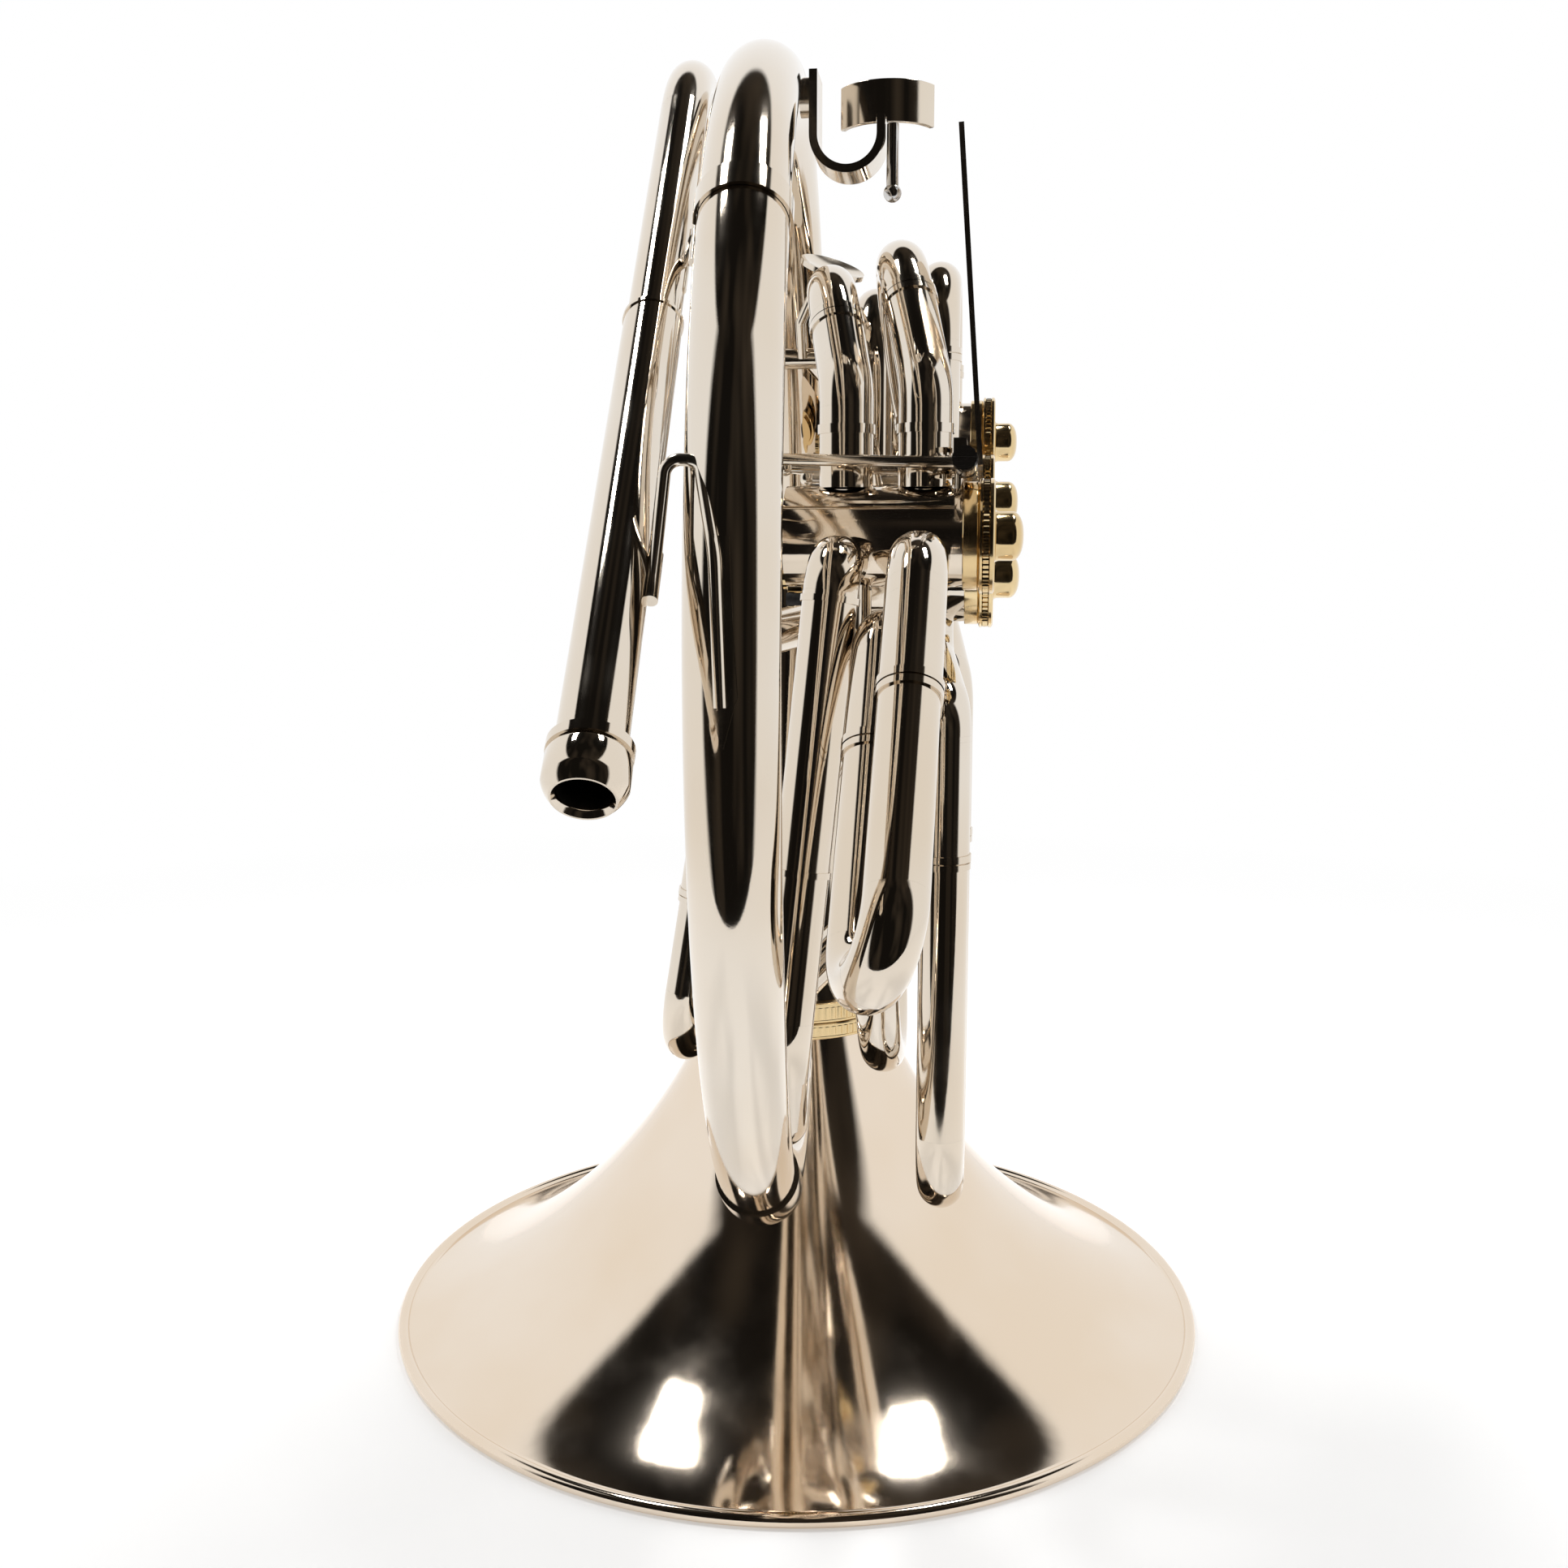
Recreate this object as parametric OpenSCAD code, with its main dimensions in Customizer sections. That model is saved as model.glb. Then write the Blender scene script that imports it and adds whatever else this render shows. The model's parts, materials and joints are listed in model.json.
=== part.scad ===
// Full double horn standing on its bell: rotary valves on two levels, screw bell,
// finger levers on the right, leadpipe and tuning slide on the left.
// Origin: centre of the bell mouth on the surface that it rests on, +Z up the bell's axis,
// +X towards the levers and valve caps, -Y towards the mouthpiece.

/* [Bell] */
// Radius of the bell mouth
mouth_r = 155; // [150:1:160]
// Height of the bell's screw ring above the mouth
ring_z = 121; // [119:1:123]
// Thickness of the bell's metal
bell_wall = 0.8; // [0.6:0.1:1.2]
// Radius of the bell's throat at the screw ring
throat_r = 33; // [31:1:35]

/* [Coil] */
// Radius of the big coil's centreline
coil_r = 146; // [145:1:147]
// Height of the coil's centre
coil_z = 264; // [263:1:265]
// Outer radius of the branch on the player's side
branch_r = 9.4; // [9:0.1:9.8]
// Angle that the coil's plane makes with the valves' plane
coil_turn = 4.63; // [4:0.1:5]

/* [Valves] */
// Outer radius of a valve casing
casing_r = 13.25; // [13:0.05:13.5]
// Left end of the casings
casing_x = 18; // [17.5:0.5:18.5]
// Length of a casing
casing_l = 46.4; // [46:0.2:47]
// Radius of a rotor
rotor_r = 12; // [11.8:0.1:12.1]
// Radial clearance of every running fit
fit = 0.05; // [0.03:0.01:0.08]

/* [Tubing] */
// Outer radius of the fixed tubes
tube_r = 7.1; // [6.9:0.1:7.2]
// Wall of the tubes
tube_wall = 0.6; // [0.5:0.1:0.8]
// X of the lower level of tubes
level_1_x = 33.5; // [33:0.5:34]
// X of the upper level of tubes
level_2_x = 54.2; // [54:0.1:54.4]

/* [Hidden] */
$fn = 40;

silver = "#c9c2b4";
gold = "#c9a24a";
rubber = "#303030";
steel = "#b5b7ba";

// Centres of the four rotors as [Y, Z], from the mouthpiece side to the bell side.
VALVE = [[-165, 295.5], [-120, 285], [-76, 308], [-34, 330]];
casing_end = casing_x + casing_l;
coil_y = -coil_r;
leg_r = tube_r - tube_wall - fit;
bore_r = leg_r - 0.55;
// Gap left at each soldered butt joint of a tube.
seam = 0.01;
up = [0, 0, 1];
down = [0, 0, -1];

// Unit vector along v.
function unit(v) = v / norm(v);
// Angle through which a route turns at its point i.
function turn_of(p, i) = acos(max(-1, min(1, unit(p[i] - p[i - 1]) * unit(p[i + 1] - p[i]))));
// Length of straight tube that the bend at point i takes up.
function setback(p, bend, i) = (i == 0 || i == len(p) - 1) ? 0 : bend[i] * tan(turn_of(p, i) / 2);
// Direction square to u, nearest to v.
function square_to(u, v) = unit(v - u * (u * v));
// Point at distance d from a towards direction u.
function along(a, u, d) = a + unit(u) * d;

// Solid rod from a to b.
module rod(a, b, r) {
    d = b - a;
    l = norm(d);
    translate(a)
        rotate([0, acos(d[2] / l), atan2(d[1], d[0])])
            cylinder(r = r, h = l);
}

// Tube from a to b, its bore running through both ends.
module tube(a, b, r_out, r_in) {
    u = unit(b - a);
    difference() {
        rod(a, b, r_out);
        rod(a - u, b + u, r_in);
    }
}

// Solid bend at point i of a route.
module elbow(p, bend, i, r) {
    u = unit(p[i] - p[i - 1]);
    v = unit(p[i + 1] - p[i]);
    n = square_to(u, v);
    w = cross(u, n);
    c = p[i] - u * setback(p, bend, i) + n * bend[i];
    multmatrix([
        [-n[0], u[0], w[0], c[0]],
        [-n[1], u[1], w[1], c[1]],
        [-n[2], u[2], w[2], c[2]],
        [0, 0, 0, 1]])
        rotate_extrude(angle = turn_of(p, i))
            translate([bend[i], 0])
                circle(r = r);
}

// Hollow tube through the points p, rounded at each inner point by bend.
module pipe(p, bend, r_out, r_in) {
    last = len(p) - 1;
    for (i = [0 : last - 1]) {
        u = unit(p[i + 1] - p[i]);
        a = p[i] + u * (setback(p, bend, i) + (i == 0 ? 0 : seam));
        b = p[i + 1] - u * (setback(p, bend, i + 1) + (i == last - 1 ? 0 : seam));
        if ((b - a) * u > 0.2)
            tube(a, b, r_out, r_in);
    }
    if (last > 1)
        for (i = [1 : last - 1])
            difference() {
                elbow(p, bend, i, r_out);
                elbow(p, bend, i, r_in);
            }
}

// Solid wire through the points p, for braces, hooks and lever arms.
module wire(p, bend, r) {
    last = len(p) - 1;
    for (i = [0 : last - 1]) {
        u = unit(p[i + 1] - p[i]);
        a = p[i] + u * (setback(p, bend, i) + (i == 0 ? 0 : seam));
        b = p[i + 1] - u * (setback(p, bend, i + 1) + (i == last - 1 ? 0 : seam));
        rod(a, b, r);
    }
    if (last > 1)
        for (i = [1 : last - 1])
            elbow(p, bend, i, r);
}

// Coil coordinates: x is outwards in the coil's plane, then the turned plane is set in place.
module coil_plane() {
    rotate([0, 0, coil_turn])
        translate([0, coil_y, coil_z])
            rotate([90, 0, 90])
                children();
}

// Point of the coil's centreline at angle a, in the horn's own axes.
function coil_point(a, r = coil_r) =
    let (y = coil_y + r * cos(a), z = coil_z + r * sin(a))
        [-y * sin(coil_turn), y * cos(coil_turn), z];
// Direction of the coil's centreline at angle a.
function coil_way(a) = [sin(a) * sin(coil_turn), -sin(a) * cos(coil_turn), cos(a)];

// Tube bent along the coil between two angles.
module coil_tube(from, to, r_out, r_in) {
    coil_plane()
        rotate([0, 0, from])
            rotate_extrude(angle = to - from)
                translate([coil_r, 0])
                    difference() {
                        circle(r = r_out);
                        circle(r = r_in);
                    }
}

// ---- Bell ----

bead_r = 2.2;
wire_r = 1.4;
// The rolled edge is flattened a little where it stands.
bead_sink = 0.12;
bead_z = bead_r - bead_sink;
bead_x = mouth_r - bead_r;
// Bell curve from the mouth's edge to the throat.
flare_shape = [[bead_x, bead_r], [112, 12], [52, 62], [throat_r, ring_z]];
flare_inset = [-0.55, -0.6] * bell_wall / 0.8;
flare_steps = 36;
function bezier(q, t) =
    q[0] * pow(1 - t, 3) + q[1] * 3 * t * pow(1 - t, 2) + q[2] * 3 * t * t * (1 - t) + q[3] * pow(t, 3);
flare_outer = [for (i = [0 : flare_steps]) bezier(flare_shape, i / flare_steps)];
flare_inner = [for (i = [flare_steps : -1 : 0]) flare_outer[i] + flare_inset];

module bell_flare() {
    color(silver)
        rotate_extrude()
            difference() {
                union() {
                    polygon(concat(flare_outer, flare_inner));
                    translate([bead_x, bead_z])
                        circle(r = bead_r);
                }
                translate([bead_x, bead_z])
                    circle(r = wire_r);
                translate([bead_x - bead_r, -bead_r])
                    square([2 * bead_r, bead_r]);
                // hairline where the rolled edge closes on itself
                translate([bead_x, bead_z])
                    rotate(225)
                        translate([1, -0.12])
                            square([1.6, 0.24]);
            }
}

module bell_rim_wire() {
    color(steel)
        rotate_extrude()
            translate([bead_x, bead_z])
                circle(r = wire_r - 0.02);
}

// The two threaded rings that join the bell to its tail.
ring_h = 5.6;
module bell_screw_ring() {
    color(gold)
        translate([0, 0, ring_z - ring_h])
            difference() {
                cylinder(r = throat_r + 3.4, h = ring_h);
                translate([0, 0, -1])
                    cylinder(r1 = throat_r + 2.6, r2 = throat_r + 0.1, h = ring_h + 2);
            }
}

module tail_screw_ring() {
    color(gold)
        translate([0, 0, ring_z + 0.2])
            difference() {
                cylinder(r = throat_r + 3.0, h = ring_h + 2);
                translate([0, 0, -1])
                    cylinder(r = throat_r + 0.1, h = ring_h + 4);
            }
}

// Bell tail: straight up from the ring, then along the coil, narrowing all the way.
tail_start = ring_z + 0.3;
tail_straight = coil_z - tail_start;
tail_end_angle = 140;
tail_sides = 28;
tail_rings = 34;
tail_len = tail_straight + coil_r * tail_end_angle * PI / 180;
// Distance from the ring of tail ring k.
function tail_at(k) = k < 11
    ? tail_straight * k / 10
    : tail_straight + (tail_len - tail_straight) * (k - 10) / (tail_rings - 10);
function tail_radius(s) = branch_r + (throat_r - branch_r) * exp(-s / 150) * (1 - s / tail_len);
function tail_centre(s) = s <= tail_straight
    ? [0, 0, tail_start + s]
    : coil_point((s - tail_straight) / coil_r * 180 / PI);
function tail_side(s) = s <= tail_straight
    ? [sin(coil_turn), -cos(coil_turn), 0]
    : let (a = (s - tail_straight) / coil_r * 180 / PI) unit(coil_point(a, coil_r - 1) - coil_point(a));
tail_cross = [cos(coil_turn), sin(coil_turn), 0];

// Rings of a swept tube's skin, at radius inset by wall.
function tail_skin(wall) = [
    for (k = [0 : tail_rings])
        let (s = tail_at(k), c = tail_centre(s), n = tail_side(s), r = tail_radius(s) - wall)
            for (j = [0 : tail_sides - 1])
                let (a = j * 360 / tail_sides)
                    c + n * (r * cos(a)) + tail_cross * (r * sin(a))];

module bell_tail() {
    rows = tail_rings + 1;
    n = tail_sides;
    inner = rows * n;
    points = concat(tail_skin(0), tail_skin(0.7));
    sides = [
        for (k = [0 : rows - 2])
            for (j = [0 : n - 1])
                let (b = k * n, m = (j + 1) % n)
                    [b + j, b + n + j, b + n + m, b + m]];
    inside = [for (f = sides) [inner + f[3], inner + f[2], inner + f[1], inner + f[0]]];
    foot = [for (j = [0 : n - 1]) [j, (j + 1) % n, inner + (j + 1) % n, inner + j]];
    top = [for (j = [0 : n - 1]) let (b = (rows - 1) * n)
        [b + j, inner + b + j, inner + b + (j + 1) % n, b + (j + 1) % n]];
    color(silver)
        polyhedron(points = points, faces = concat(sides, inside, foot, top), convexity = 6);
}

// ---- Coil branches ----

branch_from = tail_end_angle + 0.05;
branch_to = 238;
module main_branch() {
    color(silver)
        coil_tube(branch_from, branch_to, branch_r, branch_r - 0.6);
}

module branch_ferrules() {
    color(silver) {
        coil_tube(tail_end_angle - 1.2, tail_end_angle + 1.2, branch_r + 0.8, branch_r + 0.1);
        coil_tube(branch_to - 1.2, branch_to + 10, branch_r + 0.8, branch_r + 0.03);
    }
}

lower_to = 290;
lower_end = coil_point(lower_to);
module lower_branch() {
    way = coil_way(lower_to);
    cone_l = 22;
    neck = along(lower_end, way, cone_l);
    route = [
        neck, along(neck, way, 16), [level_2_x, VALVE[3][0], 190],
        [level_2_x, VALVE[3][0], VALVE[3][1] - casing_r + 0.6]];
    color(silver) {
        coil_tube(branch_to + 0.05, lower_to, branch_r, branch_r - 0.6);
        // reducing cone between the branch and the valve tubing
        translate(along(lower_end, way, seam))
            rotate([0, acos(way[2]), atan2(way[1], way[0])])
                difference() {
                    cylinder(r1 = branch_r, r2 = tube_r, h = cone_l - 2 * seam);
                    translate([0, 0, -0.1])
                        cylinder(r1 = branch_r - 0.6, r2 = tube_r - 0.6, h = cone_l + 0.2);
                }
        pipe(route, [0, 14, 18, 0], tube_r, bore_r);
    }
}

// ---- Leadpipe ----

pipe_tip = [5.8, -333, 249.6];
pipe_top = [-7, -168, 413];
pipe_way = unit(pipe_top - pipe_tip);
lead_r = 5.8;
sleeve_r = 6.3;
receiver_l = 9;
sleeve_from = 11.3;
sleeve_to = 127;
tuning_y = [-111, -67];
// The tuning slide leans to the left on its way down.
tuning_way = unit([-0.165, 0, -1]);
tuning_top = [-5.5, 0, 250];
tuning_sleeve_l = 66;
function tuning_point(y, d) = [tuning_top[0], y, tuning_top[2]] + tuning_way * d;
module leadpipe() {
    route = [
        along(pipe_tip, pipe_way, 12), pipe_top, [-15, -96, 421], [-20, tuning_y[1], 380],
        tuning_point(tuning_y[1], -14), tuning_point(tuning_y[1], -seam)];
    color(silver)
        pipe(route, [0, 60, 34, 20, 40, 0], lead_r, lead_r - 0.7);
}

module leadpipe_sleeve() {
    color(silver) {
        a = along(pipe_tip, pipe_way, sleeve_from);
        b = along(pipe_tip, pipe_way, sleeve_to);
        tube(a, b, sleeve_r, lead_r + 0.02);
        tube(along(b, pipe_way, seam), along(b, pipe_way, 1), sleeve_r + 0.3, lead_r + 0.02);
    }
}

// Barrel-shaped receiver with a true bore for the mouthpiece's shank.
hole_r = 4.6;
module mouthpiece_receiver() {
    color(silver)
        translate(pipe_tip)
            rotate([0, acos(pipe_way[2]), atan2(pipe_way[1], pipe_way[0])])
                difference() {
                    union() {
                        intersection() {
                            translate([0, 0, 5.4])
                                sphere(r = 7.9);
                            cylinder(r = 7.5, h = receiver_l);
                        }
                        translate([0, 0, receiver_l])
                            cylinder(r = 7.6, h = 2);
                    }
                    translate([0, 0, -1])
                        cylinder(r = hole_r, h = 20);
                    translate([0, 0, -0.01])
                        cylinder(r1 = hole_r + 0.8, r2 = hole_r, h = 1.2);
                }
}

// Small brace between the leadpipe and the coil near the top.
module leadpipe_brace() {
    on_pipe = along(pipe_tip, pipe_way, 150) + [5.2, 0, 0];
    on_coil = coil_point(143) + [-9.4, 0, 0];
    mid = (on_pipe + on_coil) / 2 + [0.6, -3, -2];
    color(silver) {
        wire([on_pipe, mid, on_coil], [0, 3, 0], 1.5);
        rod(along(on_pipe, pipe_way, -11), along(on_pipe, pipe_way, 11), 1.1);
        rod(along(on_coil, coil_way(143), -6), along(on_coil, coil_way(143), 6), 1.1);
    }
}

// Hairpin brace from the leadpipe's sleeve over to a pointed plate on the front of the coil.
module hairpin_brace() {
    foot = along(pipe_tip, pipe_way, 51) + [6.9, 0.6, 0];
    bow_l = [11.4, -291, 307.2];
    bow_r = [17.6, -291, 306.8];
    heel = [22, -300.4, 290];
    tip = [23.2, -302, 262];
    // outline of the plate as [X, Z]
    plate = [[-1.2, 293], [1.2, 293], [3, 264], [0.2, 254], [-2.6, 264]];
    color(silver) {
        wire([foot, bow_l, bow_r, heel, tip], [0, 2.9, 2.9, 12, 0], 1.2);
        rod(along(foot, pipe_way, -6), along(foot, pipe_way, 6), 1.4);
        intersection() {
            coil_tube(165, 190, branch_r + 0.8, branch_r + 0.04);
            translate([23.2, -294, 0])
                rotate([90, 0, 0])
                    linear_extrude(height = 14)
                        polygon(plate);
        }
    }
}

// Return bend that joins the ends a and b of two legs running along way, after a straight of length l.
module bow(a, b, way, l, r) {
    half = norm(b - a) / 2;
    reach = way * (l + half);
    pipe([a, a + reach, b + reach, b], [0, half - 0.02, half - 0.02, 0], r, bore_r);
}

// Sleeve that a slide's leg runs in, ending at p with its bead.
module leg_sleeve(p, way, l) {
    u = unit(way);
    tube(p - u * l, p - u * 0.3, tube_r, leg_r + fit);
    tube(p - u * 2.3, p - u * 0.35, tube_r + 0.5, tube_r + 0.02);
}

// ---- Tuning slide, in line with the leadpipe, left of the coil ----

module tuning_sleeves() {
    cross = [
        tuning_point(tuning_y[0], -seam), tuning_point(tuning_y[0], -16),
        [16, -56, 270], [level_1_x, VALVE[3][0], 292], [level_1_x, VALVE[3][0], VALVE[3][1] - casing_r + 0.6]];
    color(silver) {
        for (y = tuning_y)
            leg_sleeve(tuning_point(y, tuning_sleeve_l), tuning_way, tuning_sleeve_l);
        pipe(cross, [0, 11, 14, 11, 0], tube_r, bore_r);
    }
}

module tuning_slide() {
    reach = 31;
    a = tuning_point(tuning_y[0], tuning_sleeve_l);
    b = tuning_point(tuning_y[1], tuning_sleeve_l);
    color(silver) {
        bow(a, b, tuning_way, reach, tube_r - 0.3);
        for (p = [a, b])
            tube(p - tuning_way * 58, p - tuning_way * seam, leg_r, bore_r);
        for (p = [a, b])
            tube(p + tuning_way * 0.05, p + tuning_way * 1.8, tube_r + 0.3, tube_r - 0.28);
    }
}

// ---- Main crook: from the first valve down beside the coil and back up ----

crook = [
    [level_1_x, VALVE[0][0] - casing_r + 0.6, 288.5], [level_1_x, -197, 288.5], [22.6, -210, 168],
    [19.5, -190, 141], [15, -140, 140], [15, -140, 205], [level_1_x, VALVE[0][0], 256],
    [level_1_x, VALVE[0][0], VALVE[0][1] - casing_r + 0.6]];
crook_r = 6.9;
module main_crook() {
    color(silver)
        pipe(crook, [0, 8, 20, 12, 15, 14, 12, 0], crook_r, bore_r);
}

module crook_ferrules() {
    w = crook[2] - crook[1];
    color(silver)
        for (d = [8.4, 76])
            tube(along(crook[1], w, d), along(crook[1], w, d + 1.6), crook_r + 0.5, crook_r + 0.02);
}

// ---- Valves ----

floor_l = 3;
stem_r = 4;
plate_l = 2.8;
// Places a valve's own axis, with +Z along the horn's +X, at rotor v.
module at_valve(v) {
    translate([0, VALVE[v][0], VALVE[v][1]])
        rotate([0, 90, 0])
            children();
}

// Casing: drum with a bearing in its floor and ports for both levels.
module casing(v) {
    difference() {
        at_valve(v)
            difference() {
                translate([0, 0, casing_x])
                    cylinder(r = casing_r, h = casing_l);
                translate([0, 0, casing_x + floor_l])
                    cylinder(r = rotor_r + fit, h = casing_l);
                cylinder(r = stem_r + fit, h = casing_l);
            }
        for (x = [level_1_x, level_2_x])
            for (w = [up, down])
                rod([x, VALVE[v][0], VALVE[v][1]], [x, VALVE[v][0], VALVE[v][1]] + w * 20, bore_r);
    }
}

module casing_1() { color(silver) casing(0); }
module casing_2() { color(silver) casing(1); }
module casing_3() { color(silver) casing(2); }
module casing_4() { color(silver) casing(3); }

// Rotor: drum with two curved passages on each level and a stem at each end.
pass_r = 4.4;
module rotor(v) {
    at_valve(v)
        difference() {
            union() {
                translate([0, 0, casing_x + floor_l + 0.05])
                    cylinder(r = rotor_r, h = casing_l - floor_l - plate_l - 0.6);
                translate([0, 0, casing_x - 7])
                    cylinder(r = stem_r, h = casing_l + 6.6);
            }
            for (z = [level_1_x, level_2_x])
                for (s = [0, 180])
                    rotate([0, 0, s])
                        translate([-rotor_r, -rotor_r, z])
                            rotate_extrude(angle = 90)
                                translate([rotor_r, 0])
                                    circle(r = pass_r);
        }
}

module rotor_1() { color(gold) rotor(0); }
module rotor_2() { color(gold) rotor(1); }
module rotor_3() { color(gold) rotor(2); }
module rotor_4() { color(gold) rotor(3); }

// Stop arm clamped on the rotor's stem: its hub winds the lever's string.
hub_r = 5.6;
module stop_arm(v) {
    at_valve(v)
        translate([0, 0, casing_x - 5.6])
            difference() {
                union() {
                    cylinder(r = hub_r, h = 4.4);
                    intersection() {
                        cylinder(r = 9.4, h = 2);
                        translate([0, -2.4, 0])
                            cube([12, 4.8, 2]);
                    }
                }
                translate([0, 0, -1])
                    cylinder(r = stem_r + 0.02, h = 8);
            }
}

module stop_arm_1() { color(gold) stop_arm(0); }
module stop_arm_2() { color(gold) stop_arm(1); }
module stop_arm_3() { color(gold) stop_arm(2); }
module stop_arm_4() { color(gold) stop_arm(3); }

// Two rubber bumpers at each valve, one at each end of the stop arm's quarter turn.
bumper_r = 1.9;
bumper_at = 8.2;
module bumpers() {
    color(rubber)
        for (v = [0 : 3])
            at_valve(v)
                for (a = [-34, 124])
                    rotate([0, 0, a])
                        translate([bumper_at, 0, casing_x - 5.6])
                            cylinder(r = bumper_r, h = 5.6);
}

// Bearing plates pressed into the open ends of the casings.
module bearing_plates() {
    color(gold)
        for (v = [0 : 3])
            at_valve(v)
                translate([0, 0, casing_end - plate_l])
                    difference() {
                        cylinder(r = rotor_r + fit - 0.01, h = plate_l - 0.3);
                        translate([0, 0, -1])
                            cylinder(r = stem_r + fit, h = 6);
                    }
}

// Screwed caps: skirt, knurled disc and domed knob.
skirt_r = 14.1;
disc_r = 15;
module valve_caps() {
    notches = 40;
    color(gold)
        for (v = [0 : 3])
            at_valve(v)
                translate([0, 0, casing_end + 0.05])
                    union() {
                        difference() {
                            union() {
                                cylinder(r = skirt_r, h = 4);
                                translate([0, 0, 4])
                                    cylinder(r = disc_r, h = 1.2);
                                translate([0, 0, 5.2])
                                    cylinder(r = disc_r - 0.5, h = 1.6);
                                translate([0, 0, 6.8])
                                    cylinder(r = disc_r, h = 1.4);
                                translate([0, 0, 8.2])
                                    cylinder(r = 6.4, h = 4.6);
                                intersection() {
                                    translate([0, 0, 7.3])
                                        sphere(r = 8.4);
                                    translate([0, 0, 12.8])
                                        cylinder(r = 6.4, h = 4);
                                }
                            }
                            translate([0, 0, -1])
                                cylinder(r = 11.5, h = 5);
                        }
                    }
}

// Short tubes that join neighbouring valves on both levels.
module knuckles() {
    color(silver)
        for (v = [0 : 2])
            for (x = [level_1_x, level_2_x]) {
                a = [x, VALVE[v][0], VALVE[v][1]];
                b = [x, VALVE[v + 1][0], VALVE[v + 1][1]];
                tube(along(a, b - a, casing_r - 0.6), along(b, a - b, casing_r - 0.6), tube_r, bore_r);
            }
}

// ---- Lower slides ----

// First slide, upper level: points forwards and down.
fs_way = unit([-0.6, -31, -38]);
fs_side = square_to(fs_way, [-0.35, 0.72, -0.59]);
fs_corner = [55, -219, 289];
fs_reach = 37;
fs_bow = 86;
fs_half = 13;
module front_slide_sleeves() {
    a = fs_corner + fs_way * fs_reach;
    b = a + fs_side * (2 * fs_half);
    back_corner = b - fs_way * 36;
    in_leg = [[level_2_x, VALVE[0][0] - casing_r + 0.6, 289], fs_corner, fs_corner + fs_way * (fs_reach - 24)];
    out_x = level_2_x - 3;
    out_leg = [
        [out_x, VALVE[0][0], VALVE[0][1] - casing_r + 0.6], [out_x, VALVE[0][0], 256],
        back_corner, b - fs_way * 24];
    color(silver) {
        pipe(in_leg, [0, 17, 0], tube_r, bore_r);
        pipe(out_leg, [0, 12, 12, 0], tube_r, bore_r);
        leg_sleeve(a, fs_way, 24 - seam);
        leg_sleeve(b, fs_way, 24 - seam);
    }
}

module front_slide() {
    a = fs_corner + fs_way * fs_reach;
    b = a + fs_side * (2 * fs_half);
    color(silver) {
        bow(a, b, fs_way, fs_bow - fs_reach, tube_r - 0.2);
        for (p = [a, b])
            tube(p - fs_way * 22, p - fs_way * seam, leg_r, bore_r);
        for (p = [a, b])
            tube(p + fs_way * 0.05, p + fs_way * 1.8, tube_r + 0.4, tube_r - 0.18);
    }
}

// Second and third valves, upper level: long slide on the far right.
ls_x = 60.3;
ls_y = [-152, -108];
ls_z = 206;
ls_bow_z = 126;
module long_slide_sleeves() {
    a = [
        [level_2_x, VALVE[1][0], VALVE[1][1] - casing_r + 0.6], [level_2_x, VALVE[1][0], 263],
        [ls_x, ls_y[0], 248], [ls_x, ls_y[0], ls_z + 34]];
    b = [
        [level_2_x, VALVE[2][0], VALVE[2][1] - casing_r + 0.6], [level_2_x, VALVE[2][0], 272],
        [ls_x, ls_y[1], 252], [ls_x, ls_y[1], ls_z + 34]];
    color(silver) {
        pipe(a, [0, 9, 10, 0], tube_r, bore_r);
        pipe(b, [0, 12, 12, 0], tube_r, bore_r);
        for (y = ls_y)
            leg_sleeve([ls_x, y, ls_z], down, 34 - seam);
    }
}

module long_slide() {
    a = [ls_x, ls_y[0], ls_z];
    b = [ls_x, ls_y[1], ls_z];
    color(silver) {
        bow(a, b, down, ls_z - ls_bow_z, tube_r - 0.2);
        for (p = [a, b])
            tube(p + up * seam, p + up * 32, leg_r, bore_r);
        for (p = [a, b])
            tube(p - up * 1.8, p - up * 0.05, tube_r + 0.4, tube_r - 0.18);
    }
}

// Second and third valves, lower level: short slide in the middle.
ss_way = unit([7, 0, -120]);
function ss_corner(v) = [level_1_x, VALVE[v][0], 262];
module small_slide_sleeves() {
    color(silver)
        for (v = [1, 2]) {
            p = ss_corner(v);
            top = [level_1_x, VALVE[v][0], VALVE[v][1] - casing_r + 0.6];
            pipe([top, p, p + ss_way * 20], [0, 20, 0], tube_r, bore_r);
            leg_sleeve(p + ss_way * 62, ss_way, 42 - seam);
        }
}

module small_slide() {
    a = ss_corner(1) + ss_way * 62;
    b = ss_corner(2) + ss_way * 62;
    color(silver) {
        bow(a, b, ss_way, 44, tube_r - 0.3);
        for (p = [a, b])
            tube(p - ss_way * 38, p - ss_way * seam, leg_r, bore_r);
        for (p = [a, b])
            tube(p + ss_way * 0.05, p + ss_way * 1.8, tube_r + 0.3, tube_r - 0.28);
    }
}

// ---- Upper slides of the first and second valves, leaning back and left ----

us_way = unit([-7, 23, 32]);
us_front_z = 334;
us_back_z = 309;
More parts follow.
